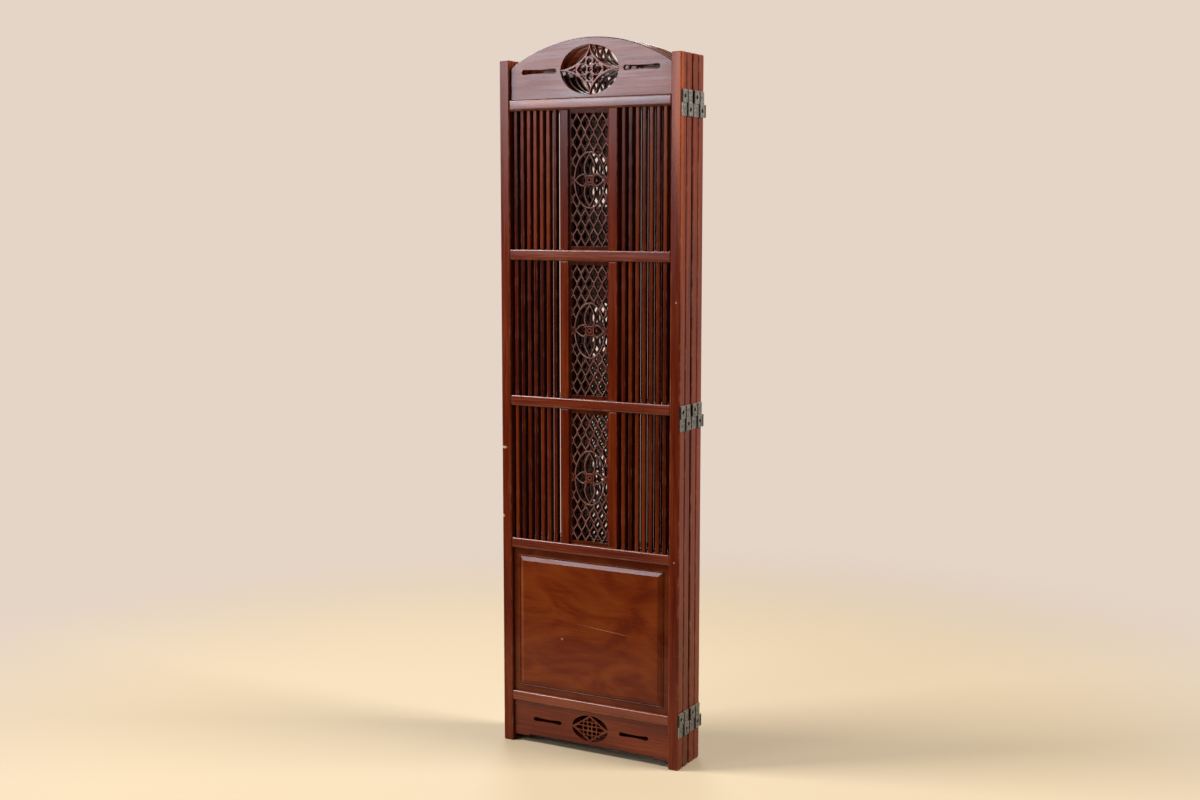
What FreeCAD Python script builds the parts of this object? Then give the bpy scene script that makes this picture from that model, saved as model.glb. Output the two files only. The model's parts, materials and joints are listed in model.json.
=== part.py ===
import FreeCAD, Part
import math
import os
from FreeCAD import Vector

# A four-panel folding screen of lacquered hardwood, shown folded flat.
# Millimetres: +X runs across a panel, +Y from the front panel to the rear one, +Z up.
# The origin lies on the floor under the middle of the folded stack.

# Stiles, the two uprights of each panel
panel_width = 480.0
stile_width = 26.5
stile_depth = 26.0
stile_ease = 3.5
stile_horn = 19.0  # stile above the ends of the crest board

# Gaps between the folded panels, from the front one back
pair_gap = 2.4  # between panels 1 and 2, and between 3 and 4
middle_gap = 7.0  # between panels 2 and 3, where two hinges lie back to back
panel_gaps = (pair_gap, middle_gap, pair_gap)

# Heights up the panel
apron_clear = 16.0
apron_height = 87.0
raised_panel_height = 359.0
bay_height = 325.0
bay_count = 3
rail_height = 25.0
crest_end_height = 75.0
crest_rise = 63.0

# Rails, with a small chamfer above and a large one underneath
rail_setback = 0.5  # rail face behind stile face
rail_ease = 2.5
rail_under_ease = 7.0

# Mullions, with every face edge eased
mullion_spacing = 130.0
mullion_width = 23.0
mullion_setback = 2.0
mullion_ease = 2.0

# Slats, one group each side of the mullions
slat_count = 7
slat_width = 9.5
slat_depth = 10.0
slat_end_gap = 10.3  # between a group of slats and the upright at either end of it
slat_forward = 3.5  # slats nearer the panel's front than its middle

# Frets, pierced boards with a net of diamond cells round a flower
fret_thickness = 6.0
fret_side = 5.0
fret_end = 9.5
net_columns = 3
net_rows = 10  # half cells from the top of the net to its bottom
strand_width = 3.2
petal_root = 7.0
petal_shoulder = 0.34  # widest place of a petal, as a share of the flower's reach
petal_spread = 0.3  # half width of an upright petal, as a share of the flower's reach across it
level_spread = 0.15  # half width of a level petal, as a share of the flower's reach across it
flower_reach = (0.85, 0.75)  # petal tips, as shares of the diamond frame's half width and half height
frame_share = (0.8, 0.25)  # ends of the openings along the frame, as shares of its half width

# Carved boards at the top and bottom of each panel
carved_thickness = 10.0
crest_oval_width = 153.0
crest_oval_height = 112.0
crest_oval_rise = 64.5  # centre above the crest rail
crest_slot_height = 13.0
crest_slot_gap = 12.5  # between oval and slot
crest_slot_margin = 31.5  # between slot and stile
crest_star_power = 2.9  # 1 is an oval, 2 a diamond, 3 a star with deeply hollow sides
apron_oval_width = 98.0
apron_oval_height = 64.0
apron_oval_drop = 41.5  # centre below the lower rail
apron_slot_height = 10.0
apron_slot_gap = 30.5
apron_slot_margin = 55.0
apron_star_power = 2.15
apron_step_length = 43.0
apron_step_height = 4.0
oval_facets = 4  # straight facets in each quarter of an oval
star_strand = 3.5
kite_root = 0.11  # openings in a star: near end, widest place, far end and half width, as shares of the oval
kite_shoulder = 0.29
kite_tip = 0.64
kite_spread = 0.23
slot_waist = 0.6  # height of a slot's middle, as a share of its height

# Raised panel, fielded on both faces
border_thickness = 8.0
border_width = 16.0
bead_step = 1.5
bead_width = 2.0
bevel_width = 10.0
bevel_rise = 4.0

# Two-way hinges: a leaf on each panel edge, two links and three pins
hinge_drops = (8.5, 18.5, 5.5)  # hinge centres below the middles of three rails
hinge_height = 58.0
leaf_thickness = 1.6
link_thickness = 1.6
plate_clearance = 0.3
pin_radius = 2.0
pin_clearance = 0.15
outer_pin_flats = 8  # the outer pins turn only when a fold is reversed, so few faces do

# Places that follow from the sizes above
half_width = panel_width / 2
half_opening = half_width - stile_width
lower_rail_z = apron_clear + apron_height
raised_panel_z = lower_rail_z + rail_height
sill_rail_z = raised_panel_z + raised_panel_height
bay_bottoms = [sill_rail_z + rail_height + i * (bay_height + rail_height) for i in range(bay_count)]
rail_bottoms = [lower_rail_z, sill_rail_z] + [z + bay_height for z in bay_bottoms]
crest_z = rail_bottoms[-1] + rail_height
stile_height = crest_z + crest_end_height + stile_horn
panel_count = len(panel_gaps) + 1
stack_depth = panel_count * stile_depth + sum(panel_gaps)
panel_fronts = [i * stile_depth + sum(panel_gaps[:i]) - stack_depth / 2 for i in range(panel_count)]
mullion_inner = (mullion_spacing - mullion_width) / 2
mullion_outer = (mullion_spacing + mullion_width) / 2


def box(x0, x1, y0, y1, z0, z1):
    return Part.makeBox(x1 - x0, y1 - y0, z1 - z0, Vector(x0, y0, z0))


def outline(points):
    """A closed wire through (x, z) points in the plane y = 0."""
    corners = [Vector(x, 0, z) for x, z in points]
    return Part.makePolygon(corners + corners[:1])


def pierced_board(wires, thickness):
    """A board of the given thickness about y = 0, its outline first in the list and its holes after."""
    face = Part.makeFace(wires, "Part::FaceMakerBullseye")
    face.translate(Vector(0, -thickness / 2, 0))
    return face.extrude(Vector(0, thickness, 0))


def eased_bar(x0, x1, depth, z0, z1, ease):
    """A bar whose front and back faces have all their edges chamfered."""
    bar = box(x0, x1, -depth / 2, depth / 2, z0, z1)
    face_edges = [e for e in bar.Edges if abs(e.BoundBox.YLength) < ease]
    return bar.makeChamfer(ease, face_edges)


def stile(side):
    inner, outer = sorted((side * half_opening, side * half_width))
    post = box(inner, outer, -stile_depth / 2, stile_depth / 2, 0, stile_height)
    upright_edges = [e for e in post.Edges if e.BoundBox.ZLength > stile_height / 2]
    return post.makeChamfer(stile_ease, upright_edges)


def rail(z0):
    z1 = z0 + rail_height
    half = stile_depth / 2 - rail_setback
    back = [(half - rail_under_ease, z0), (half, z0 + rail_under_ease),
            (half, z1 - rail_ease), (half - rail_ease, z1)]
    section = back + [(-y, z) for y, z in reversed(back)]
    corners = [Vector(-half_opening, y, z) for y, z in section]
    return Part.Face(Part.makePolygon(corners + corners[:1])).extrude(Vector(2 * half_opening, 0, 0))


def rails():
    return [rail(z) for z in rail_bottoms]


def mullions():
    depth = stile_depth - 2 * mullion_setback
    bars = []
    for z in bay_bottoms:
        for inner, outer in ((-mullion_outer, -mullion_inner), (mullion_inner, mullion_outer)):
            bars.append(eased_bar(inner, outer, depth, z, z + bay_height, mullion_ease))
    return bars


def slats(y):
    """Every slat of a panel, with its middle at a depth y."""
    first = mullion_outer + slat_end_gap + slat_width / 2
    last = half_opening - slat_end_gap - slat_width / 2
    pitch = (last - first) / (slat_count - 1)
    centres = [first + pitch * i for i in range(slat_count)]
    half = slat_width / 2
    bars = []
    for z in bay_bottoms:
        for x in [-c for c in centres] + centres:
            bars.append(box(x - half, x + half, y - slat_depth / 2, y + slat_depth / 2, z, z + bay_height))
    return bars


def diamond(x, z, half_w, half_h):
    return outline([(x - half_w, z), (x, z - half_h), (x + half_w, z), (x, z + half_h)])


def petal(reach, spread, direction):
    """A kite-shaped opening that points away from the centre of a flower, along direction."""
    ux, uz = direction
    shoulder = petal_root + petal_shoulder * (reach - petal_root)
    along = [(petal_root, 0), (shoulder, spread), (reach, 0), (shoulder, -spread)]
    return [(a * ux - b * uz, a * uz + b * ux) for a, b in along]


def shifted(points, z):
    return outline([(x, z + dz) for x, dz in points])


def flower_holes(z, reach_x, reach_z, frame_x, frame_z):
    """Four petals, and the four openings between them and a diamond frame."""
    spread_z = level_spread * reach_z
    spread_x = petal_spread * reach_x
    far, near = frame_share
    holes = []
    for sign in (1, -1):
        holes.append(shifted(petal(reach_x, spread_z, (sign, 0)), z))
        holes.append(shifted(petal(reach_z, spread_x, (0, sign)), z))
    shoulder_x = petal_root + petal_shoulder * (reach_x - petal_root)
    shoulder_z = petal_root + petal_shoulder * (reach_z - petal_root)
    for sx in (1, -1):
        for sz in (1, -1):
            corner = [
                (shoulder_x, spread_z + strand_width),
                (frame_x * far, frame_z * (1 - far) - strand_width),
                (frame_x * near, frame_z * (1 - near) - strand_width),
                (spread_x + strand_width, shoulder_z),
            ]
            holes.append(shifted([(sx * x, sz * dz) for x, dz in corner], z))
    return holes


def fret(z0):
    """A pierced board: a net of diamonds with a flower in the middle of it."""
    width = 2 * mullion_inner
    z_middle = z0 + bay_height / 2
    pitch = (width - 2 * fret_side) / net_columns
    row = (bay_height - 2 * fret_end) / net_rows
    shrink = 1 - strand_width / 2 * math.hypot(pitch / 2, row) / (pitch / 2 * row)
    frame_x = pitch * net_columns / 2
    frame_z = row * net_columns
    wires = [outline([(-mullion_inner, z0), (mullion_inner, z0),
                      (mullion_inner, z0 + bay_height), (-mullion_inner, z0 + bay_height)])]
    for k in range(1, net_rows):
        cells = net_columns - (k + 1) % 2
        z = z0 + fret_end + k * row
        for j in range(cells):
            x = (j - (cells - 1) / 2) * pitch
            if abs(x) / frame_x + abs(z - z_middle) / frame_z > 1:
                wires.append(diamond(x, z, shrink * pitch / 2, shrink * row))
    reach_x = frame_x * flower_reach[0]
    reach_z = frame_z * flower_reach[1]
    wires += flower_holes(z_middle, reach_x, reach_z, frame_x, frame_z)
    return pierced_board(wires, fret_thickness)


def frets():
    return [fret(z) for z in bay_bottoms]


def star_oval(z, width, height, power):
    """Openings of an oval crossed by a four-pointed star with hollow sides, and four kites in the star."""
    a = width / 2
    b = height / 2
    holes = []
    start = math.asin(star_strand / b)
    angles = [start + (math.pi / 2 - 2 * start) * i / oval_facets for i in range(oval_facets + 1)]
    rim = [(a * math.cos(t), b * math.sin(t)) for t in angles]
    half = star_strand / 2
    star = [(a * math.cos(t) ** power + half, b * math.sin(t) ** power + half) for t in reversed(angles)]
    for sx in (1, -1):
        for sz in (1, -1):
            holes.append(shifted([(sx * x, sz * dz) for x, dz in rim + star], z))
    kite = [(kite_root, 0), (kite_shoulder, kite_spread), (kite_tip, 0), (kite_shoulder, -kite_spread)]
    for sign in (1, -1):
        holes.append(shifted([(sign * along * a, across * b) for along, across in kite], z))
        holes.append(shifted([(across * a, sign * along * b) for along, across in kite], z))
    return holes


def slot(side, start, stop, z, height):
    """A dumbbell-shaped slot, from one distance to another beside the middle of a board."""
    x = side * (start + stop) / 2
    half = (stop - start) / 2
    end = height / 2
    waist = end * slot_waist
    upper = [(-half, waist), (-half + end, end), (0, waist), (half - end, end), (half, waist)]
    lower = [(dx, -dz) for dx, dz in reversed(upper)]
    return outline([(x + dx, z + dz) for dx, dz in upper + lower])


def crest_board():
    end_z = crest_z + crest_end_height
    left = Vector(-half_opening, 0, end_z)
    right = Vector(half_opening, 0, end_z)
    arch = Part.Arc(right, Vector(0, 0, end_z + crest_rise), left).toShape()
    base_left = Vector(-half_opening, 0, crest_z)
    base_right = Vector(half_opening, 0, crest_z)
    sides = Part.makePolygon([left, base_left, base_right, right])
    rim = Part.Wire([arch] + sides.Edges)
    oval_z = crest_z + crest_oval_rise
    wires = [rim] + star_oval(oval_z, crest_oval_width, crest_oval_height, crest_star_power)
    start = crest_oval_width / 2 + crest_slot_gap
    stop = half_opening - crest_slot_margin
    for side in (1, -1):
        wires.append(slot(side, start, stop, oval_z, crest_slot_height))
    return pierced_board(wires, carved_thickness)


def apron():
    step_x = half_opening - apron_step_length
    step_z = apron_clear + apron_step_height
    half_rim = [(half_opening, lower_rail_z), (half_opening, apron_clear),
                (step_x, apron_clear), (step_x, step_z)]
    rim = outline(half_rim + [(-x, z) for x, z in reversed(half_rim)])
    oval_z = lower_rail_z - apron_oval_drop
    wires = [rim] + star_oval(oval_z, apron_oval_width, apron_oval_height, apron_star_power)
    start = apron_oval_width / 2 + apron_slot_gap
    stop = half_opening - apron_slot_margin
    for side in (1, -1):
        wires.append(slot(side, start, stop, oval_z, apron_slot_height))
    return pierced_board(wires, carved_thickness)


def raised_panel():
    """A border, a bead and a bevelled field, alike on both faces."""
    z0 = raised_panel_z
    z1 = z0 + raised_panel_height
    half_border = border_thickness / 2
    half_bead = half_border + bead_step
    half_field = half_bead + bevel_rise
    border = box(-half_opening, half_opening, -half_border, half_border, z0, z1)
    bead_x = half_opening - border_width
    bead = box(-bead_x, bead_x, -half_bead, half_bead, z0 + border_width, z1 - border_width)
    foot = border_width + bead_width
    top = foot + bevel_width
    foot_x = half_opening - foot
    top_x = half_opening - top
    front_field = Part.makeWedge(-top_x, -half_field, z0 + top, z0 + foot, -foot_x,
                                 top_x, -half_bead, z1 - top, z1 - foot, foot_x)
    back_field = Part.makeWedge(-foot_x, half_bead, z0 + foot, z0 + top, -top_x,
                                foot_x, half_field, z1 - foot, z1 - top, top_x)
    return border.fuse([bead, front_field, back_field]).removeSplitter()


def hinge_centres():
    carriers = (rail_bottoms[0], rail_bottoms[2], rail_bottoms[-1])
    return [z + rail_height / 2 - drop for z, drop in zip(carriers, hinge_drops)]


def plate(side, layer, thickness, y0, y1, z0, z1):
    """A flat hinge plate that starts at a distance, layer, outside the panel edges on one side."""
    inner, outer = sorted((side * (half_width + layer), side * (half_width + layer + thickness)))
    return box(inner, outer, y0, y1, z0, z1)


def outer_pin(x, y, z0, z1):
    turns = [2 * math.pi * i / outer_pin_flats for i in range(outer_pin_flats + 1)]
    corners = [Vector(x + pin_radius * math.cos(t), y + pin_radius * math.sin(t), z0) for t in turns]
    return Part.Face(Part.makePolygon(corners)).extrude(Vector(0, 0, z1 - z0))


def hinge_set(side, first, gap):
    """The three hinges between panel number first and the next one, as named lists of solids."""
    front_y = panel_fronts[first] - gap / 2
    middle_y = panel_fronts[first] + stile_depth + gap / 2
    rear_y = panel_fronts[first + 1] + stile_depth + gap / 2
    link_layer = leaf_thickness + plate_clearance
    pin_x = side * (half_width + link_layer + link_thickness / 2)
    reach = pin_radius + pin_clearance
    half = hinge_height / 2
    split = plate_clearance / 2
    front_span = (front_y + reach, middle_y - reach)
    rear_span = (middle_y + reach, rear_y - reach)
    names = ("front_leaves", "rear_leaves", "upper_links", "lower_links",
             "front_pins", "middle_pins", "rear_pins")
    pieces = {name: [] for name in names}
    for z in hinge_centres():
        upper = (z + split, z + half)
        lower = (z - half, z - split)
        pieces["front_leaves"].append(plate(side, 0, leaf_thickness, *front_span, z - half, z + half))
        pieces["rear_leaves"].append(plate(side, 0, leaf_thickness, *rear_span, z - half, z + half))
        pieces["upper_links"].append(plate(side, link_layer, link_thickness, *front_span, *upper))
        pieces["lower_links"].append(plate(side, link_layer, link_thickness, *rear_span, *lower))
        pieces["front_pins"].append(outer_pin(pin_x, front_y, *upper))
        middle_foot = Vector(pin_x, middle_y, z - half)
        pieces["middle_pins"].append(Part.makeCylinder(pin_radius, hinge_height, middle_foot))
        pieces["rear_pins"].append(outer_pin(pin_x, rear_y, *lower))
    return pieces


def panel_pieces(facing):
    """The solids of one panel about y = 0, by name; facing is -1 where its front looks along -Y, or 1."""
    return {
        "left_stile": [stile(-1)],
        "right_stile": [stile(1)],
        "crest_board": [crest_board()],
        "rails": rails(),
        "mullions": mullions(),
        "slats": slats(facing * slat_forward),
        "frets": frets(),
        "raised_panel": [raised_panel()],
        "apron": [apron()],
    }


def write_node(name, solids):
    shape = solids[0] if len(solids) == 1 else Part.makeCompound(solids)
    shape.exportStep(os.path.join("parts", name + ".step"))


os.makedirs("parts", exist_ok=True)
for i, front in enumerate(panel_fronts):
    facing = 1 if i % 2 else -1  # folded panels look forwards and backwards in turn
    place = Vector(0, front + stile_depth / 2, 0)
    for name, solids in panel_pieces(facing).items():
        write_node(f"panel{i + 1}_{name}", [s.translated(place) for s in solids])
for i, gap in enumerate(panel_gaps):
    side = -1 if i % 2 else 1  # and their hinges lie on the right and the left in turn
    for name, solids in hinge_set(side, i, gap).items():
        write_node(f"hinge{i + 1}{i + 2}_{name}", solids)
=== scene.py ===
import json
import math
import random

import bmesh
import bpy
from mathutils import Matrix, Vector, geometry

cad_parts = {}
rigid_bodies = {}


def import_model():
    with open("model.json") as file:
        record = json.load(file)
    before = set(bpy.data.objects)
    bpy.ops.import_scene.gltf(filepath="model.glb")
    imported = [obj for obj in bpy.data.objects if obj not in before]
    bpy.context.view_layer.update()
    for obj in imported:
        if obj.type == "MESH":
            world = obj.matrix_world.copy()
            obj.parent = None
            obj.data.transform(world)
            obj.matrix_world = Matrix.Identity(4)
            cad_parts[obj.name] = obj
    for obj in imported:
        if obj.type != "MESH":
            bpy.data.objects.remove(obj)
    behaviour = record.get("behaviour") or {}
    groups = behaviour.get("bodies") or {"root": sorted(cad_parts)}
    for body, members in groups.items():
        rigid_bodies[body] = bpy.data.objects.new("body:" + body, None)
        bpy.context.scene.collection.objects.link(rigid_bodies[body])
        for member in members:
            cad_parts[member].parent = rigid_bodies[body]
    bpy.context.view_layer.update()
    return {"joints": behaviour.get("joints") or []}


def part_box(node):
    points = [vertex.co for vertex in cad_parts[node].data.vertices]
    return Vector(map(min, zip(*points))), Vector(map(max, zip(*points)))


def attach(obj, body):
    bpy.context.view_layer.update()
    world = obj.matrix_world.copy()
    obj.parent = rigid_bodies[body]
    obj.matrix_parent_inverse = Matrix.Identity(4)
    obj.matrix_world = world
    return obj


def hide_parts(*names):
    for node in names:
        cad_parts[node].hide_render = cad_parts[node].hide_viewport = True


# A four-panel folding screen of lacquered hardwood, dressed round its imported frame.
# Metres: +X runs across a panel, +Y from the front panel to the rear one, +Z up.
# Ornament is drawn in millimetres about its own middle, and placed by the frame.
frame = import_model()
scene = bpy.context.scene
draw = random.Random(11)
mm = 0.001

panel_count = 4
bay_count = 3
slat_count = 7
along_x = 0
along_z = 2

# Smooth shading
flat_face_weight = 96  # large faces keep their own normals
sharp_angle = 42  # degrees between faces that meet at a sharp edge
bevel_angle = 8  # the same on the raised panel

# Bars: rounding of the long edges and easing of the ends, which reaches further along than in
end_reach = 2.0
corner_steps = 3
stile_round = 3.6 * mm
stile_end_ease = 1.2 * mm
rail_height = 25 * mm
rail_round = 2.6 * mm
rail_under_round = 5.5 * mm
rail_end_ease = 1.2 * mm
mullion_width = 23 * mm
mullion_round = 2.4 * mm
mullion_end_ease = 1.8 * mm
# Left and right board numbers in each bay, from the lowest bay up: a low number is darker wood, and the
# very low one paints shade on the top bay's left mullion
mullion_boards_and_painted_shade = ((0.4, 0.3), (0.6, 0.5), (-0.9, 0.2))
slat_width = 9.5 * mm
slat_round = 2.0 * mm
slat_end_ease = 0.3 * mm

# Pierced boards, in millimetres; an edge value is 1 where a face is worn, -1 where shade is painted on it
crest_ease = 1.0
apron_ease = 0.7
outline_spread = 2.2  # the outline's arris is this many times as wide as an opening's
# painted shade along the outer arris of the crest and the apron
outline_painted_shade = -0.8
piercing_painted_shade = -0.85  # painted shade inside the openings
fret_ease = 0.7
fret_depth = 10.0  # deeper than the frame's plain net, on the same middle
fret_side = 5.0
fret_end = 9.5
net_columns = 4
net_margin = 0.35  # width of the net beyond its whole columns, as a share of a column
net_rows = 14  # half cells from the top of the net to its bottom
net_strand = 2.4
net_wave = 0.75  # 0 for straight strands, 1 for strands that wave most
cell_steps = 26
cell_tip = 0.25
least_opening = 30.0  # square millimetres
least_step = 0.25
mitre_limit = 0.5
join_distance = 1e-5
inside_with_holes = 2  # the kind of triangulation
ring_half_width = 40.0
ring_half_height = 64.5
ring_cover = 0.7  # cells with their middles within this share of the ring are left out
flower_hole = 4.2
petal_root = 10.5
petal_base = 7.5
petal_shoulder = 14.0
petal_waist = 0.22  # share of a petal's width that is lost at its root
petal_steps = 14
upright_petal = (60.0, 13.6, 0.3)  # reach, half width and widest place
level_petal = (38.0, 13.4, 0.1)
oval_steps = 16
bow_steps = 8
arch_steps = 64

crest_end_height = 75.0
crest_oval_width = 153.0
crest_oval_height = 112.0
crest_oval_rise = 64.5
crest_star_power = 3.3
crest_strand = 3.0
crest_slot_length = 93.0
crest_slot_height = 13.0
crest_slot_place = 135.5
apron_oval_width = 98.0
apron_oval_height = 64.0
apron_oval_drop = 41.5
apron_star_power = 2.15
apron_strand = 2.4
apron_slot_length = 79.0
apron_slot_height = 12.0
apron_slot_place = 119.0
apron_step_length = 43.0
apron_step_height = 4.0
slot_waist = 0.6

# Raised panel: inset from its edge and half thickness, from the field out to the border
raised_profile = ((30.5, 9.5), (29.6, 9.3), (20.2, 5.5), (19.7, 4.6), (18.9, 4.5), (18.4, 5.5),
                  (17.5, 6.0), (16.6, 5.5), (16.1, 4.0), (0.0, 4.0))
# Edge value of each ring of its faces: painted shade in the grooves and on the border, and a painted
# highlight on the bead
raised_edges = (0, 0, -0.9, -0.9, -0.9, 0.7, 0.7, -0.7, -0.3, 0)

# Hinges; an edge value below 0 darkens the metal: tarnished on the free screws, painted shade on the
# barrels and in the wells
hinge_height = 58 * mm
plate_round = 0.45 * mm
plate_end_ease = 0.3 * mm
barrel_radius = 2.0 * mm
barrel_steps = 20
knuckle_groove = 0.3 * mm
# the barrels are painted dark as shade
barrel_painted_shade = -0.9
screw_radius = 2.5 * mm
screw_proud = 0.2 * mm
screw_tarnish = -0.4
well_painted_shade = -1.0  # painted shade in each access hole, also on the screw in it
well_proud = 0.06 * mm
screw_slot = 0.7 * mm
screw_place = 15 * mm

# Link plates, in millimetres
access_hole = (5.2, 5.2)  # half width and half height
well_margin = 0.6
link_ease = 0.35


def new_bmesh():
    """An empty mesh whose faces hold the number of their board and their edge value."""
    bm = bmesh.new()
    bm.faces.layers.float.new("board")
    bm.faces.layers.float.new("edge")
    return bm


def mark(bm, faces, edge, board):
    board_layer = bm.faces.layers.float["board"]
    edge_layer = bm.faces.layers.float["edge"]
    for face in faces:
        face[board_layer] = board
        face[edge_layer] = edge


def new_object(name, data):
    made = bpy.data.objects.new(name, data)
    scene.collection.objects.link(made)
    return made


def add_piece(name, bm, body, material, node, angle=sharp_angle):
    """Makes a piece that stands for a node of the frame and rides on its body."""
    mesh = bpy.data.meshes.new(name)
    bmesh.ops.recalc_face_normals(bm, faces=bm.faces)
    bm.to_mesh(mesh)
    bm.free()
    mesh.shade_smooth()
    mesh.set_sharp_from_angle(angle=math.radians(angle))
    mesh.materials.append(material)
    piece = new_object(name, mesh)
    even = piece.modifiers.new("even_normals", "WEIGHTED_NORMAL")
    even.keep_sharp = True
    even.weight = flat_face_weight
    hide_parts(node)
    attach(piece, body)


def rounded_rectangle(half_u, half_v, upper, lower):
    """A rectangle whose corners at +v and at -v each have a radius of their own."""
    points = []
    for corner, (su, sv) in enumerate(((1, 1), (-1, 1), (-1, -1), (1, -1))):
        radius = upper if sv > 0 else lower
        for i in range(corner_steps + 1):
            t = math.pi / 2 * (corner + i / corner_steps)
            points.append((su * (half_u - radius) + radius * math.cos(t),
                           sv * (half_v - radius) + radius * math.sin(t)))
    return points


def loft(bm, rings, board, edge_side, edge_cap=0.0):
    """A closed solid through rings of points; edge_side and edge_cap give its faces their edge values."""
    rows = [[bm.verts.new(p) for p in ring] for ring in rings]
    count = len(rings[0])
    for row, (lower, upper) in enumerate(zip(rows, rows[1:])):
        for i in range(count):
            j = (i + 1) % count
            face = bm.faces.new((lower[i], lower[j], upper[j], upper[i]))
            mark(bm, [face], edge_side(row, i), board)
    caps = [bm.faces.new(rows[0]), bm.faces.new(rows[-1])]
    mark(bm, caps, edge_cap, board)


def add_bar(bm, near, far, axis, radius, ease, under=None, board=None):
    """A bar along one axis with rounded long edges and eased ends; under is the radius underneath."""
    number = draw.random() if board is None else board
    low = Vector(near)
    high = Vector(far)
    u, v = [k for k in range(3) if k != axis]
    lower = under or radius
    middle = (low + high) / 2
    half = (high - low) / 2
    rings = []
    reach = ease * end_reach
    stations = ((low[axis], ease), (low[axis] + reach, 0), (high[axis] - reach, 0), (high[axis], ease))
    for end, inset in stations:
        ring = []
        for du, dv in rounded_rectangle(half[u] - inset, half[v] - inset, radius - inset, lower - inset):
            point = Vector(middle)
            point[axis] = end
            point[u] += du
            point[v] += dv
            ring.append(point)
        rings.append(ring)
    per_corner = corner_steps + 1
    loft(bm, rings, number, lambda row, side: float(row != 1 or side % per_corner != corner_steps))


def turned(bm, x, y, profile, edge):
    """A solid turned about an upright axis through (x, y), from (radius, height) pairs."""
    rings = []
    turns = [2 * math.pi * i / barrel_steps for i in range(barrel_steps)]
    for radius, z in profile:
        rings.append([Vector((x + radius * math.cos(t), y + radius * math.sin(t), z)) for t in turns])
    loft(bm, rings, 0.0, lambda row, side: edge)


def signed_area(loop):
    """Positive where the loop runs anticlockwise."""
    return sum(a[0] * b[1] - b[0] * a[1] for a, b in zip(loop, loop[1:] + loop[:1])) / 2


def tidied(loop, anticlockwise):
    """A loop without points that crowd each other, turned the way asked for."""
    kept = []
    for point in loop:
        if not kept or math.dist(point, kept[-1]) > least_step:
            kept.append(point)
    while math.dist(kept[0], kept[-1]) < least_step:
        kept.pop()
    return kept if (signed_area(kept) > 0) == anticlockwise else kept[::-1]


def moved_left(loop, distance):
    """A loop moved to the left of its own direction, with mitred corners of limited length."""
    moved = []
    count = len(loop)
    for i in range(count):
        here = Vector(loop[i])
        before = (here - Vector(loop[i - 1])).normalized()
        after = (Vector(loop[(i + 1) % count]) - here).normalized()
        left = Vector((-before.y - after.y, before.x + after.x))
        scale = 1 / max(1 + before.dot(after), mitre_limit)
        moved.append(here + left * (scale * distance))
    return moved


def along_border(a, b, border):
    """Whether the line from a to b runs along a straight border at these half sizes."""
    return any(min(abs(a[k]), abs(b[k])) > border[k] - least_step for k in (0, 1))


def arris_levels(thickness, ease):
    """Inset and depth of each ring of points through a board, from one rounded arris to the other."""
    half = thickness / 2
    fall = ease * (1 - math.sqrt(0.5))
    levels = [(ease, half), (fall, half - fall), (0, half - ease)]
    return levels + [(inset, -w) for inset, w in reversed(levels)]


def face_triangles(loops, flat):
    """Triangles of a flat face between its outline and its holes, as numbers of its points."""
    rings = []
    start = 0
    for loop in loops:
        rings.append(list(range(start, start + len(loop))))
        start += len(loop)
    made = geometry.delaunay_2d_cdt(flat, [], rings, inside_with_holes, join_distance)
    if len(made[0]) != len(flat):
        raise ValueError("the openings of a board touch each other")
    source = [origin[0] for origin in made[3]]
    return [[source[i] for i in triangle] for triangle in made[2]]


def pierced(loops, thickness, ease, rim_spread=1.0, rim_edge=1.0, wall_edge=0.0,
            border=(math.inf, math.inf)):
    """Points and faces of a flat board with rounded arrises, from its outline and then its holes.

    Points are (u, v, w), w through the thickness; a face has the numbers of its points and an edge value.
    The arris of the outline can be spread wider than those of the holes, with an edge value of its own.
    Holes are worn (on the frets the worn colour is mostly a painted highlight), except along a straight
    border at the half sizes given; wall_edge is for their walls, where the carved boards get painted shade.
    """
    loops = [tidied(loop, k == 0) for k, loop in enumerate(loops)]
    levels = arris_levels(thickness, ease)
    points = []
    for inset, w in levels:
        for k, loop in enumerate(loops):
            spread = 1.0 if k else rim_spread
            points += [Vector((p.x, p.y, w)) for p in moved_left(loop, inset * spread)]
    size = len(points) // len(levels)
    last = len(points) - size
    wall_row = len(levels) // 2 - 1
    faces = []
    for row in range(len(levels) - 1):
        start = row * size
        for k, loop in enumerate(loops):
            wall, arris = (wall_edge, 1.0) if k else (0.0, rim_edge)
            edge = wall if row == wall_row else arris
            count = len(loop)
            for i in range(count):
                j = (i + 1) % count
                plain = k and along_border(loop[i], loop[j], border)
                a = start + i
                b = start + j
                faces.append(((a, b, b + size, a + size), 0.0 if plain else edge))
            start += count
    for corners in face_triangles(loops, [p.to_2d() for p in points[:size]]):
        faces.append((corners, 0.0))
        faces.append(([c + last for c in reversed(corners)], 0.0))
    return points, faces


def add_board(bm, board, place):
    """Adds a flat board to a mesh, each point set in place by a function."""
    points, faces = board
    number = draw.random()
    verts = [bm.verts.new(place(*p)) for p in points]
    for corners, edge in faces:
        mark(bm, [bm.faces.new([verts[i] for i in corners])], edge, number)


def upright_place(y, z):
    """Sets a flat board upright, facing the front, with its middle at a depth and a height."""
    return lambda u, v, w: Vector((u * mm, y - w * mm, z + v * mm))


def sideways_place(x, y, z):
    """Sets a flat plate upright, facing the side, with its middle at a point."""
    return lambda u, v, w: Vector((x + w * mm, y + u * mm, z + v * mm))


def turned_over(loop, sx, sz):
    return [(sx * x, sz * z) for x, z in loop]


def four_ways(loop):
    return [turned_over(loop, sx, sz) for sx in (1, -1) for sz in (1, -1)]


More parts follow.
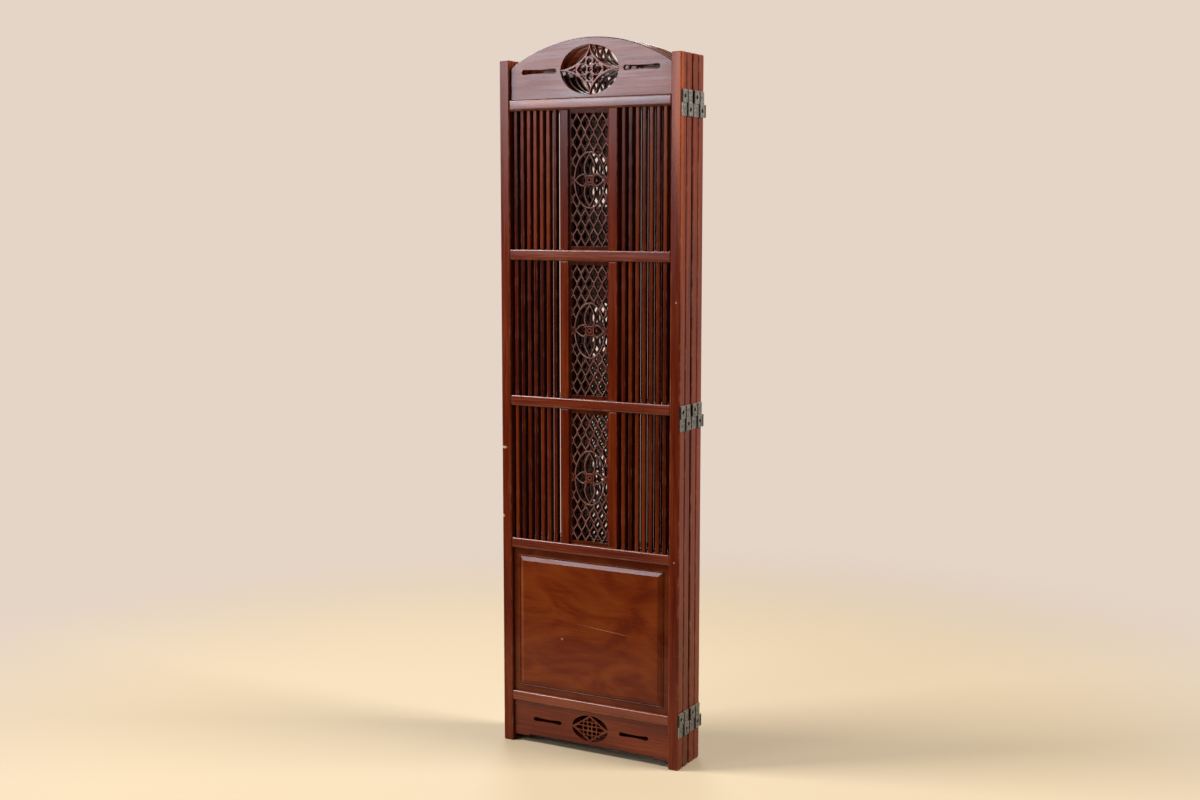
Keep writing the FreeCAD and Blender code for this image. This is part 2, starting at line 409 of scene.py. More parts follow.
def bowed(corners):
    """A loop through (x, z, bow) corners, anticlockwise, whose sides swell outwards by their bows."""
    loop = []
    for (x0, z0, bow), (x1, z1, _) in zip(corners, corners[1:] + corners[:1]):
        length = math.hypot(x1 - x0, z1 - z0)
        for i in range(bow_steps):
            t = i / bow_steps
            swell = bow * 4 * t * (1 - t) / length
            loop.append((x0 + (x1 - x0) * t + (z1 - z0) * swell, z0 + (z1 - z0) * t - (x1 - x0) * swell))
    return loop


def round_hole(x, z, half_width, half_height):
    turns = [2 * math.pi * i / oval_steps for i in range(oval_steps)]
    return [(x + half_width * math.cos(t), z + half_height * math.sin(t)) for t in turns]


def rectangle(half_width, half_height):
    return [(-half_width, -half_height), (half_width, -half_height),
            (half_width, half_height), (-half_width, half_height)]


def clipped(loop, axis, limit):
    """The part of a loop that lies on the near side of a straight limit."""
    sign = math.copysign(1, limit)
    kept = []
    for a, b in zip(loop, loop[1:] + loop[:1]):
        room_a = abs(limit) - sign * a[axis]
        room_b = abs(limit) - sign * b[axis]
        if room_a >= 0:
            kept.append(a)
        if room_a * room_b < 0:
            t = room_a / (room_a - room_b)
            kept.append((a[0] + (b[0] - a[0]) * t, a[1] + (b[1] - a[1]) * t))
    return kept


def cut_by_oval(loop, half_width, half_height):
    """The part of a loop outside an oval, closed along the oval's rim."""
    def reach(p):
        return math.hypot(p[0] / half_width, p[1] / half_height)

    def crossing(a, b):
        t = (1 - reach(a)) / (reach(b) - reach(a))
        return math.atan2((a[1] + (b[1] - a[1]) * t) / half_height, (a[0] + (b[0] - a[0]) * t) / half_width)

    outside = [i for i, p in enumerate(loop) if reach(p) >= 1]
    if not outside:
        return []
    loop = loop[outside[0]:] + loop[:outside[0]]
    kept = []
    for a, b in zip(loop, loop[1:] + loop[:1]):
        if reach(a) >= 1:
            kept.append(a)
        if reach(a) >= 1 > reach(b):
            entry = crossing(a, b)
        if reach(b) >= 1 > reach(a):
            turn = math.remainder(crossing(a, b) - entry, 2 * math.pi)
            angles = [entry + turn * i / bow_steps for i in range(bow_steps + 1)]
            kept += [(half_width * math.cos(t), half_height * math.sin(t)) for t in angles]
    return kept


def net_cell(x, z, column, row):
    """A pointed oval opening between two wavy strands."""
    def reach(t):
        wavy = (1 + math.cos(math.pi * t)) / 2
        return column / 2 * (net_wave * wavy + (1 - net_wave) * (1 - abs(t)))

    step = 1 / cell_steps
    side = []
    for i in range(1, 2 * cell_steps):
        t = -1 + i * step
        slope = (reach(min(t + step, 1)) - reach(max(t - step, -1))) / (2 * step * row)
        lean = math.hypot(1, slope)
        half = reach(t) - net_strand / 2 / lean
        if half > cell_tip:
            side.append((half, t * row + net_strand / 2 * slope / lean))
    left = [(x - half, z + dz) for half, dz in reversed(side)]
    return [(x + half, z + dz) for half, dz in side] + left


def net_openings(half_width, half_height):
    """The openings of the net, outside the ring of the flower."""
    inner_x = half_width - fret_side
    inner_z = half_height - fret_end
    column = 2 * inner_x / (net_columns + net_margin)
    row = 2 * inner_z / net_rows
    openings = []
    for k in range(net_rows + 1):
        count = net_columns + (k + 1) % 2
        for j in range(count):
            x = (j - (count - 1) / 2) * column
            z = -inner_z + k * row
            if math.hypot(x / ring_half_width, z / ring_half_height) < ring_cover:
                continue
            cell = net_cell(x, z, column, row)
            for axis, limit in ((0, inner_x), (0, -inner_x), (1, inner_z), (1, -inner_z)):
                cell = clipped(cell, axis, limit)
            if not cell:
                continue
            cell = cut_by_oval(cell, ring_half_width + net_strand / 2, ring_half_height + net_strand / 2)
            if cell and abs(signed_area(cell)) > least_opening:
                openings.append(cell)
    return openings


def petal_side(reach, half_width, widest, offset):
    """Points (along, across) from a petal's shoulder to its tip, with the line moved outwards."""
    side = []
    for i in range(petal_steps + 1):
        share = i / petal_steps
        if share < widest:
            width = 1 - petal_waist * (1 - share / widest) ** 2
        else:
            width = math.cos(math.pi / 2 * (share - widest) / (1 - widest))
        across = half_width * width + offset
        if across > cell_tip:
            side.append((petal_shoulder + (reach - petal_shoulder) * share, across))
    return side


def flower_openings():
    """A round hole, four petals, and the four openings between them and the ring."""
    half = net_strand / 2
    base = [(petal_root, -petal_base), (petal_root, petal_base)]
    openings = [round_hole(0, 0, flower_hole, flower_hole)]
    for form in (level_petal, upright_petal):
        side = petal_side(*form, -half)
        loop = base + side + [(along, -across) for along, across in reversed(side)]
        for sign in (1, -1):
            if form is level_petal:
                openings.append([(sign * along, across) for along, across in loop])
            else:
                openings.append([(across, sign * along) for along, across in loop])
    inner_x = ring_half_width - half
    inner_z = ring_half_height - half
    corner_x = upright_petal[1] + half
    corner_z = level_petal[1] + half
    lower = [p for p in petal_side(*level_petal, half)
             if p[0] > corner_x + half and math.hypot(p[0] / inner_x, p[1] / inner_z) < 1]
    upper = [(across, along) for along, across in petal_side(*upright_petal, half)
             if along > corner_z + half and math.hypot(across / inner_x, along / inner_z) < 1]
    first = math.atan2(lower[-1][1] / inner_z, lower[-1][0] / inner_x)
    last = math.atan2(upper[-1][1] / inner_z, upper[-1][0] / inner_x)
    turns = [first + (last - first) * i / oval_steps for i in range(oval_steps + 1)]
    arc = [(inner_x * math.cos(t), inner_z * math.sin(t)) for t in turns]
    return openings + four_ways([(corner_x, corner_z)] + lower + arc + upper[::-1])


def star_openings(width, height, power, strand):
    """The four openings between an oval and a star with hollow sides."""
    a = width / 2
    b = height / 2
    start = math.asin(strand / b)
    turns = [start + (math.pi / 2 - 2 * start) * i / oval_steps for i in range(oval_steps + 1)]
    rim = [(a * math.cos(t), b * math.sin(t)) for t in turns]
    star = [(a * math.cos(t) ** power + strand / 2, b * math.sin(t) ** power + strand / 2) for t in turns]
    return four_ways(rim + star[::-1])


def crest_medallion():
    """The star with its lattice: a hole, four petals, four corners and four tips."""
    openings = star_openings(crest_oval_width, crest_oval_height, crest_star_power, crest_strand)
    openings.append(round_hole(0, 0, 5.2, 5.2))
    upright = round_hole(0, 16.4, 7.2, 8.2)
    level = bowed([(8.6, -4.6, 0.5), (14.5, -10.4, 0.4), (23.5, -10.4, 0.4), (33, 0, 0.4),
                   (23.5, 10.4, 0.4), (14.5, 10.4, 0.5), (8.6, 4.6, -0.8)])
    upright_tip = bowed([(-7.6, 28.2, -1.5), (7.6, 28.2, -1), (0, 49, -1)])
    level_tip = bowed([(35.5, -7.4, -1), (57, 0, -1), (35.5, 7.4, -1.5)])
    corner = bowed([(10.4, 13.6, -0.6), (25.5, 13.6, -1), (10.4, 27.2, -0.6)])
    for sign in (1, -1):
        openings += [turned_over(loop, 1, sign) for loop in (upright, upright_tip)]
        openings += [turned_over(loop, sign, 1) for loop in (level, level_tip)]
    return openings + four_ways(corner)


def apron_medallion():
    """A diamond with a lattice of three rows of three rings, and openings that fill its corners."""
    openings = star_openings(apron_oval_width, apron_oval_height, apron_star_power, apron_strand)
    openings.append(round_hole(0, 0, 4.0, 4.0))
    side = round_hole(11.8, 0, 5.8, 4.7)
    ring = round_hole(0, 10.8, 5.0, 4.4)
    upright_tip = bowed([(-5.2, 17.2, 0), (5.2, 17.2, 0), (5.0, 24.2, 0), (0, 28.2, 0), (-5.0, 24.2, 0)])
    level_tip = bowed([(19.8, -5.0, 0), (31, -4.6, 0), (41, 0, 0), (31, 4.6, 0), (19.8, 5.0, -0.6)])
    for sign in (1, -1):
        openings.append(turned_over(side, sign, 1))
        openings += [turned_over(loop, 1, sign) for loop in (ring, upright_tip)]
        openings.append(turned_over(level_tip, sign, 1))
    corner_ring = round_hole(11.8, 10.8, 4.9, 4.2)
    outer_corner = bowed([(19.0, 7.4, 0), (31.0, 7.2, 0), (18.8, 15.4, 0)])
    upper_corner = bowed([(7.6, 17.2, 0), (15.6, 17.2, 0), (7.6, 22.2, 0)])
    return openings + four_ways(corner_ring) + four_ways(outer_corner) + four_ways(upper_corner)


def slot_opening(x, z, length, height):
    """A slot with round ends and a narrower waist."""
    half = length / 2
    end = height / 2
    upper = []
    for i in range(oval_steps + 1):
        t = math.pi * i / oval_steps
        dx = half * math.cos(t)
        cap = math.sqrt(max(0, 1 - max(0, (abs(dx) - half + end) / end) ** 2))
        waist = slot_waist + (1 - slot_waist) * (abs(dx) / half) ** 2
        upper.append((dx, end * waist * cap))
    lower = [(dx, -dz) for dx, dz in upper[-2:0:-1]]
    return [(x + dx, z + dz) for dx, dz in upper + lower]


def slot_pair(place, z, length, height):
    """The slots to the right and left of a medallion."""
    return [slot_opening(side * place, z, length, height) for side in (1, -1)]


def shifted(loops, z):
    return [[(x, dz + z) for x, dz in loop] for loop in loops]


def crest_loops(half_width, height):
    """The arched board, about the middle of its lower edge."""
    rise = height - crest_end_height
    radius = (half_width ** 2 + rise ** 2) / (2 * rise)
    spread = math.asin(half_width / radius)
    turns = [spread - 2 * spread * i / arch_steps for i in range(arch_steps + 1)]
    arch = [(radius * math.sin(t), height - radius + radius * math.cos(t)) for t in turns]
    outline = [(-half_width, 0), (half_width, 0)] + arch
    loops = [outline] + shifted(crest_medallion(), crest_oval_rise)
    return loops + slot_pair(crest_slot_place, crest_oval_rise, crest_slot_length, crest_slot_height)


def apron_loops(half_width, height):
    """The board below the lower rail, about the middle of its upper edge."""
    step_x = half_width - apron_step_length
    half = [(half_width, 0), (half_width, -height), (step_x, -height), (step_x, apron_step_height - height)]
    outline = half + [(-x, z) for x, z in reversed(half)]
    loops = [outline] + shifted(apron_medallion(), -apron_oval_drop)
    return loops + slot_pair(apron_slot_place, -apron_oval_drop, apron_slot_length, apron_slot_height)


def set_inputs(tree, node, inputs):
    """Gives each input, by its name or as in0, in1 and so on, a value or the output that feeds it."""
    for name, value in inputs.items():
        socket = node.inputs[int(name[2:])] if name.startswith("in") else node.inputs[name]
        if isinstance(value, bpy.types.NodeSocket):
            tree.links.new(value, socket)
        else:
            socket.default_value = value


def add_node(tree, kind, settings=None, **inputs):
    made = tree.nodes.new("ShaderNode" + kind)
    for name, value in (settings or {}).items():
        setattr(made, name, value)
    set_inputs(tree, made, inputs)
    return made


def new_material(name):
    material = bpy.data.materials.new(name)
    material.use_nodes = True
    tree = material.node_tree
    return material, tree, tree.nodes["Principled BSDF"]


def object_place(tree):
    return add_node(tree, "TexCoord").outputs["Object"]


def attribute(tree, name):
    return add_node(tree, "Attribute", {"attribute_name": name}).outputs["Fac"]


def noise(tree, place, scale, detail, distortion=0.0):
    made = add_node(tree, "TexNoise", Vector=place, Scale=scale, Detail=detail, Distortion=distortion)
    return made.outputs["Fac"]


def stretched_noise(tree, place, across, along, axis, detail=2.0, distortion=0.0):
    """Noise with features of 1/across metres, drawn out to 1/along metres along one axis."""
    scale = [across] * 3
    scale[axis] = along
    mapped = add_node(tree, "Mapping", in0=place, Scale=scale).outputs[0]
    return noise(tree, mapped, 1.0, detail, distortion)


def length_of(tree, vector):
    return add_node(tree, "VectorMath", {"operation": "LENGTH"}, in0=vector).outputs["Value"]


def math_node(tree, operation, *values):
    inputs = {f"in{i}": value for i, value in enumerate(values)}
    return add_node(tree, "Math", {"operation": operation}, **inputs).outputs[0]


def map_range(tree, value, start, end, first, last, kind="LINEAR"):
    """A value that runs from start to end, made to run from first to last."""
    made = add_node(tree, "MapRange", {"interpolation_type": kind}, Value=value,
                    in1=start, in2=end, in3=first, in4=last)
    return made.outputs[0]


def ramp(tree, fac, positions, colours):
    made = add_node(tree, "ValToRGB", Fac=fac)
    elements = made.color_ramp.elements
    while len(elements) < len(positions):
        elements.new(0.5)
    for element, position, colour in zip(elements, positions, colours):
        element.position = position
        element.color = (*colour, 1)
    return made.outputs["Color"]


def grey(level):
    return (level, level, level)


def painted(tree, share, colour, paint):
    """A colour with a share of another over it."""
    made = add_node(tree, "Mix", {"data_type": "RGBA"}, in0=share, in6=colour, in7=(*paint, 1))
    return made.outputs[2]


def darkness(tree, edge):
    """1 where the edge value is -1, and 0 where it is 0 or more."""
    return math_node(tree, "MAXIMUM", math_node(tree, "MULTIPLY", edge, -1.0), 0.0)


def set_relief(tree, bsdf, height, strength, depth):
    bump = add_node(tree, "Bump", Strength=strength, Distance=depth, Height=height)
    set_inputs(tree, bsdf, {"Normal": bump.outputs[0]})


# Dark, middle and light tones of each wood
frame_tones = ((0.055, 0.0045, 0.0005), (0.105, 0.0105, 0.0009), (0.155, 0.024, 0.0035))
level_tones = ((0.062, 0.005, 0.0005), (0.122, 0.013, 0.001), (0.18, 0.03, 0.004))
slat_tones = ((0.032, 0.0025, 0.0004), (0.072, 0.0066, 0.0006), (0.125, 0.017, 0.0025))
fret_tones = ((0.032, 0.0032, 0.0006), (0.068, 0.008, 0.0014), (0.11, 0.017, 0.003))
panel_tones = ((0.07, 0.007, 0.0006), (0.115, 0.014, 0.001), (0.165, 0.029, 0.003))
tone_stops = (0.36, 0.58, 0.82)

# Colour of worn edges, and the least and the most of it; on the frets it is mostly a painted highlight
frame_wear = ((0.3, 0.115, 0.055), 0.04, 0.4)
# pale edges of the frets: worn, and mostly a painted highlight
fret_wear_and_painted_highlight = ((0.56, 0.34, 0.3), 0.4, 0.85)
wear_scale = 38.0
wear_stops = (0.5, 0.72)
bare_wood = (0.56, 0.38, 0.26)
rubbed_wood = (0.29, 0.055, 0.008)
# colour of the pores, and also of painted shade where an edge value is below 0
pore_and_shade_wood = (0.022, 0.0024, 0.0008)

# Grain: features in a metre, bends and shares; a pair is for straight grain and for a full figure
board_shift = (7.3, 3.1, 5.7)  # from one board's grain to that of a board whose number is 1 higher
band_across = (26, 12)
band_along = (3.2, 6.2)
band_bend = (0.0, 1.6)
band_share = (0.6, 0.95)
streak_across = 210
streak_along = (6, 10)
streak_bend = 0.5
streak_share = (0.6, 0.25)
pore_across = 900
pore_along = 45
pore_share = (0.5, 0.25)
pore_stops = (0.28, 0.42)

# Gloss of the lacquer
haze_across = 14
haze_along = 5
haze_share = 0.4
haze_streak_share = 0.6
haze_least = -0.07  # added to the roughness in the clearest places
haze_most = 0.09  # and in the haziest
middle_noise = (0.3, 0.7)  # where most of a noise lies
wood_relief = (0.1, 0.4 * mm)  # strength and depth

# Marks of use on the front panel: colour, centre, half sizes, turn in degrees and strength
stile_marks = (
    (bare_wood, (0.229, -0.058, 1.0963), (0.0024, 0.003, 0.0024), 0, 0.9),
    (bare_wood, (0.2276, -0.058, 0.4962), (0.0022, 0.003, 0.0022), 0, 0.9),
    (bare_wood, (-0.2345, -0.058, 0.7337), (0.011, 0.006, 0.0042), 0, 0.85),
    (bare_wood, (-0.239, -0.058, 0.5651), (0.008, 0.008, 0.0046), 20, 0.85),
    (rubbed_wood, (0.233, -0.058, 1.56), (0.019, 0.016, 0.26), 0, 1.0),
    (rubbed_wood, (0.24, -0.056, 1.3), (0.008, 0.009, 0.2), 0, 0.5),
)
rail_marks = (
    (rubbed_wood, (-0.13, -0.057, 1.554), (0.09, 0.008, 0.01), 0, 0.7),
)
panel_marks = (
    (bare_wood, (0.046, -0.0545, 0.3108), (0.085, 0.002, 0.0009), 4.9, 0.36),
    (bare_wood, (-0.0746, -0.0545, 0.2751), (0.004, 0.002, 0.0034), 30, 0.4),
)
rag_scale = 260.0
rag_reach = (0.8, 1.5)  # where a mark begins to fade and where it ends, with noise added

# Bronze of the hinges
bronze_tones = ((0.085, 0.08, 0.07), (0.18, 0.171, 0.154), (0.31, 0.297, 0.273))
bronze_stops = (0.36, 0.54, 0.7)
rubbed_bronze = (0.7, 0.68, 0.64)
# colour of tarnished metal, and of painted shade on the barrels and in the wells
dark_bronze = (0.01, 0.008, 0.006)
patch_scale = 190.0
patch_roughness = (0.58, 0.38)  # of dark and of pale patches
bronze_metallic = 0.85
grit_scale = 900.0
grit_relief = (0.25, 0.3 * mm)


def marked(tree, place, colour, paint, centre, half_sizes, turn, strength):
    """A colour with a worn place on it, ragged at its rim."""
    local = add_node(tree, "Mapping", {"vector_type": "TEXTURE"}, in0=place, Location=centre,
                     Rotation=(0, math.radians(turn), 0), Scale=half_sizes).outputs[0]
    reach = math_node(tree, "ADD", length_of(tree, local), noise(tree, place, rag_scale, 3.0))
    mask = map_range(tree, reach, *rag_reach, strength, 0.0)
    return painted(tree, mask, colour, paint)


def figured(pair, figure):
    """A value between that for straight grain and that for a full figure."""
    straight, full = pair
    return straight + (full - straight) * figure


def grain(tree, place, axis, figure):
    """The noises of bands, streaks and pores along one axis."""
    bands = stretched_noise(tree, place, figured(band_across, figure), figured(band_along, figure), axis,
                            detail=3, distortion=figured(band_bend, figure))
    streaks = stretched_noise(tree, place, streak_across, figured(streak_along, figure), axis,
                              detail=3, distortion=streak_bend)
    pores = stretched_noise(tree, place, pore_across, pore_along, axis)
    return bands, streaks, pores


def grain_colour(tree, board, noises, figure, tones, spread):
    """The colour of the grain; spread is how far the tones of boards lie apart."""
    bands, streaks, pores = noises
    banded = math_node(tree, "MULTIPLY", bands, figured(band_share, figure))
    tone = math_node(tree, "MULTIPLY_ADD", streaks, figured(streak_share, figure), banded)
    varied = math_node(tree, "MULTIPLY_ADD", board, spread, tone)
    colour = ramp(tree, math_node(tree, "SUBTRACT", varied, spread / 2), tone_stops, tones)
    pore_mask = ramp(tree, pores, pore_stops, (grey(figured(pore_share, figure)), grey(0.0)))
    return painted(tree, pore_mask, colour, pore_and_shade_wood)


def aged(tree, colour, place, edge, wear_and_highlight):
    """A colour that is worn in places where the edge value is above 0 (on the frets mostly a painted
    highlight), and carries painted shade where it is below.
    """
    paint, least, most = wear_and_highlight
    rubbed = ramp(tree, noise(tree, place, wear_scale, 3.0), wear_stops, (grey(least), grey(most)))
    colour = painted(tree, math_node(tree, "MULTIPLY", edge, rubbed), colour, paint)
    # painted shade where the edge value is below 0
    return painted(tree, darkness(tree, edge), colour, pore_and_shade_wood)


def wood(name, axis, figure, specular, tones=frame_tones, roughness=0.25, marks=(), wear_and_highlight=frame_wear,
         spread=0.16):
    """Red-brown lacquered hardwood with its grain along one axis; its figure is 0 straight, 1 swirled."""
    material, tree, bsdf = new_material(name)
    place = object_place(tree)
    board = attribute(tree, "board")
    apart = add_node(tree, "VectorMath", {"operation": "MULTIPLY_ADD"},
                     in0=board, in1=board_shift, in2=place).outputs[0]
    bands, streaks, pores = grain(tree, apart, axis, figure)
    colour = grain_colour(tree, board, (bands, streaks, pores), figure, tones, spread)
    colour = aged(tree, colour, apart, attribute(tree, "edge"), wear_and_highlight)
    for mark_values in marks:
        colour = marked(tree, place, colour, *mark_values)
    clouds = stretched_noise(tree, apart, haze_across, haze_along, axis)
    haze = math_node(tree, "MULTIPLY_ADD", streaks, haze_streak_share,
                     math_node(tree, "MULTIPLY", clouds, haze_share))
    gloss = map_range(tree, haze, *middle_noise, roughness + haze_least, roughness + haze_most)
    set_inputs(tree, bsdf, {"Base Color": colour, "Roughness": gloss, "Specular IOR Level": specular})
    set_relief(tree, bsdf, math_node(tree, "ADD", streaks, pores), *wood_relief)
    return material


def bronze():
    """Aged grey bronze: mottled, rubbed bright on its edges, tarnished on the free screws, and painted dark
    as shade on the barrels and in the wells.
    """
    material, tree, bsdf = new_material("hinge_bronze")
    place = object_place(tree)
    edge = attribute(tree, "edge")
    patches = noise(tree, place, patch_scale, 4.0)
    colour = ramp(tree, patches, bronze_stops, bronze_tones)
    bright = math_node(tree, "MULTIPLY", math_node(tree, "MAXIMUM", edge, 0.0), patches)
    colour = painted(tree, bright, colour, rubbed_bronze)
    colour = painted(tree, darkness(tree, edge), colour, dark_bronze)
    gloss = map_range(tree, patches, *middle_noise, *patch_roughness)
    set_inputs(tree, bsdf, {"Base Color": colour, "Roughness": gloss, "Metallic": bronze_metallic})
    set_relief(tree, bsdf, noise(tree, place, grit_scale, 2.0), *grit_relief)
    return material


upright_wood = wood("upright_wood", along_z, figure=0.0, specular=0.2, marks=stile_marks)
level_wood = wood("level_wood", along_x, figure=0.1, specular=0.5, tones=level_tones, marks=rail_marks)
mullion_wood = wood("mullion_wood", along_z, figure=0.0, specular=0.1)
slat_wood = wood("slat_wood", along_z, figure=0.0, specular=0.1, tones=slat_tones, spread=0.5)
carved_wood = wood("carved_wood", along_x, figure=0.2, specular=0.34, tones=level_tones)
fret_wood = wood("fret_wood", along_z, figure=0.1, specular=0.06, tones=fret_tones, roughness=0.28,
                 wear_and_highlight=fret_wear_and_painted_highlight)
panel_wood = wood("panel_wood", along_x, figure=1.0, specular=0.2, tones=panel_tones, roughness=0.17,
                  marks=panel_marks)
hinge_metal = bronze()


def add_stiles(panel, body):
    for side in ("left", "right"):
        node = f"panel{panel}_{side}_stile"
        bm = new_bmesh()
        add_bar(bm, *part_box(node), along_z, stile_round, stile_end_ease)
        add_piece(f"{side}_stile_{panel}", bm, body, upright_wood, node)


def bays(panel):
    """The bottom and top of each lattice bay."""
    low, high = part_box(f"panel{panel}_frets")
    height = (high.z - low.z - (bay_count - 1) * rail_height) / bay_count
    bottoms = [low.z + i * (height + rail_height) for i in range(bay_count)]
    return [(z, z + height) for z in bottoms]


def add_rails(panel, body):
    node = f"panel{panel}_rails"
    low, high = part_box(node)
    bm = new_bmesh()
    for z in [low.z, bays(panel)[0][0] - rail_height] + [top for _, top in bays(panel)]:
        near = (low.x, low.y, z)
        far = (high.x, high.y, z + rail_height)
        add_bar(bm, near, far, along_x, rail_round, rail_end_ease, rail_under_round)
    add_piece(f"rails_{panel}", bm, body, level_wood, node)


def add_mullions(panel, body):
    node = f"panel{panel}_mullions"
    low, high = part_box(node)
    bm = new_bmesh()
    # the board numbers darken the top bay's left mullion as painted shade
    for (bottom, top), boards in zip(bays(panel), mullion_boards_and_painted_shade):
        for x, board in zip((low.x, high.x - mullion_width), boards):
            near = (x, low.y, bottom)
            far = (x + mullion_width, high.y, top)
            add_bar(bm, near, far, along_z, mullion_round, mullion_end_ease, board=board)
    add_piece(f"mullions_{panel}", bm, body, mullion_wood, node)


def add_slats(panel, body):
    """Slats on both sides of the mullions, as far from them as from the stiles."""
    node = f"panel{panel}_slats"
    low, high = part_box(node)
    mullion_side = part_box(f"panel{panel}_mullions")[1].x
    stile_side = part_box(f"panel{panel}_right_stile")[0].x
    last = high.x - slat_width / 2
    first = mullion_side + stile_side - last
    centres = [first + (last - first) * i / (slat_count - 1) for i in range(slat_count)]
    bm = new_bmesh()
    for bottom, top in bays(panel):
        for x in [-c for c in centres] + centres:
            near = (x - slat_width / 2, low.y, bottom)
            far = (x + slat_width / 2, high.y, top)
            add_bar(bm, near, far, along_z, slat_round, slat_end_ease)
    add_piece(f"slats_{panel}", bm, body, slat_wood, node)


def fret_board():
    bottom, top = bays(1)[0]
    half_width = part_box("panel1_frets")[1].x / mm
    half_height = (top - bottom) / 2 / mm
    loops = [rectangle(half_width, half_height)] + net_openings(half_width, half_height) + flower_openings()
    return pierced(loops, fret_depth, fret_ease, border=(half_width - fret_side, half_height - fret_end))


def carved_board(node, draw_loops, ease):
    low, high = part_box(node)
    loops = draw_loops(high.x / mm, (high.z - low.z) / mm)
    # the outline's arris and the walls of the openings get painted shade
    return pierced(loops, (high.y - low.y) / mm, ease, outline_spread, outline_painted_shade, piercing_painted_shade)


def add_frets(panel, body, board):
    node = f"panel{panel}_frets"
    low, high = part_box(node)
    bm = new_bmesh()
    for bottom, top in bays(panel):
        add_board(bm, board, upright_place((low.y + high.y) / 2, (bottom + top) / 2))
    add_piece(f"frets_{panel}", bm, body, fret_wood, node)


def add_carved(panel, body, name, board, from_top):
    """A crest board or an apron, placed by its lower or its upper edge."""
    node = f"panel{panel}_{name}"
    low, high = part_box(node)
    bm = new_bmesh()
    add_board(bm, board, upright_place((low.y + high.y) / 2, high.z if from_top else low.z))
    add_piece(f"{name}_{panel}", bm, body, carved_wood, node)


def add_raised_panel(panel, body):
    """Border, bead, groove, bevel and field, alike on both faces and mitred at the corners."""
    node = f"panel{panel}_raised_panel"
    low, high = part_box(node)
    middle = (low.y + high.y) / 2
    rings = []
    for face, profile in ((-1, raised_profile), (1, raised_profile[::-1])):
        for inset, half in profile:
            x0, x1 = low.x + inset * mm, high.x - inset * mm
            z0, z1 = low.z + inset * mm, high.z - inset * mm
            y = middle + face * half * mm
            rings.append([Vector(p) for p in ((x0, y, z0), (x1, y, z0), (x1, y, z1), (x0, y, z1))])
    bm = new_bmesh()
    last = len(rings) - 2
    # the edge values paint shade in the grooves and on the border, and a highlight on the bead
    loft(bm, rings, draw.random(), lambda row, side: raised_edges[min(row, last - row)])
    add_piece(f"raised_panel_{panel}", bm, body, panel_wood, node, bevel_angle)


def hinge_centres(leaves, joint):
    """The heights of a fold's hinges, from the box of all its leaves on one panel."""
    low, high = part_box(leaves)
    return [low.z + hinge_height / 2, joint["pos_m"][2], high.z - hinge_height / 2]


def hinge_spans(prefix, joint, node):
    """The bottom of a link or a pin at each hinge of a fold, and its length."""
    leaves = f"{prefix}_front_leaves"
    leaf_low, leaf_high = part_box(leaves)
    low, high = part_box(node)
    shift = low.z - leaf_low.z
    length = (high.z - low.z) - (leaf_high.z - leaf_low.z) + hinge_height
    return [z - hinge_height / 2 + shift for z in hinge_centres(leaves, joint)], length


def add_metal(node, bm, body):
    add_piece(f"{node}_metal", bm, body, hinge_metal, node)


def add_disc(bm, x, out, ring, proud, tarnish_and_shade):
    """A thin plate with (y, z) points as its outline, on a face at x that looks along out."""
    rings = [[Vector((x + out * lift, y, z)) for y, z in ring] for lift in (0, proud)]
    loft(bm, rings, 0.0, lambda row, side: tarnish_and_shade, tarnish_and_shade)


def add_well(bm, x, out, y, z):
    """A dark disc on a leaf, painted shade that shows through the access hole of a link."""
    hole = round_hole(0, 0, *(half + well_margin for half in access_hole))
    add_disc(bm, x, out, [(y + u * mm, z + v * mm) for u, v in hole], well_proud, well_painted_shade)


def add_screw(bm, x, out, y, z, tarnish_and_shade):
    """A slotted screw head, as two half discs."""
    half_slot = screw_slot / 2
    turns = [math.pi * i / barrel_steps for i in range(barrel_steps + 1)]
    rise = screw_radius - half_slot
    half_disc = [(screw_radius * math.cos(t), half_slot + rise * math.sin(t)) for t in turns]
    for sign in (1, -1):
        add_disc(bm, x, out, [(y + u, z + sign * v) for u, v in half_disc], screw_proud, tarnish_and_shade)


def add_leaves(prefix, joint, which, body):
    """The leaf of each hinge, screwed to a panel's edge; a link covers the place of one of its screws."""
    node = f"{prefix}_{which}_leaves"
    low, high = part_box(node)
    out = math.copysign(1, joint["pos_m"][0])
    face = high.x if out > 0 else low.x
    middle = (low.y + high.y) / 2
    covered = screw_place if which == "front" else -screw_place
    bm = new_bmesh()
    for z in hinge_centres(node, joint):
        near = (low.x, low.y, z - hinge_height / 2)
        far = (high.x, high.y, z + hinge_height / 2)
        add_bar(bm, near, far, along_z, plate_round, plate_end_ease)
        # a dark disc of painted shade in the access hole
        add_well(bm, face, out, middle, z + covered)
        for dz in (-screw_place, screw_place):
            add_screw(bm, face, out, middle, z + dz, well_painted_shade if dz == covered else screw_tarnish)
    add_metal(node, bm, body)


def add_links(prefix, joint, which, body):
    """The link plate of each hinge, with the hole through which its leaf is screwed on."""
    node = f"{prefix}_{which}_links"
    low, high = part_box(node)
    middle = (low + high) / 2
    bottoms, length = hinge_spans(prefix, joint, node)
    half_width = (high.y - low.y) / 2 / mm
    half_height = length / 2 / mm
    loops = [rectangle(half_width, half_height), round_hole(0, 0, *access_hole)]
    plate = pierced(loops, (high.x - low.x) / mm, link_ease)
    bm = new_bmesh()
    for bottom in bottoms:
        add_board(bm, plate, sideways_place(middle.x, middle.y, bottom + half_height * mm))
    add_metal(node, bm, body)


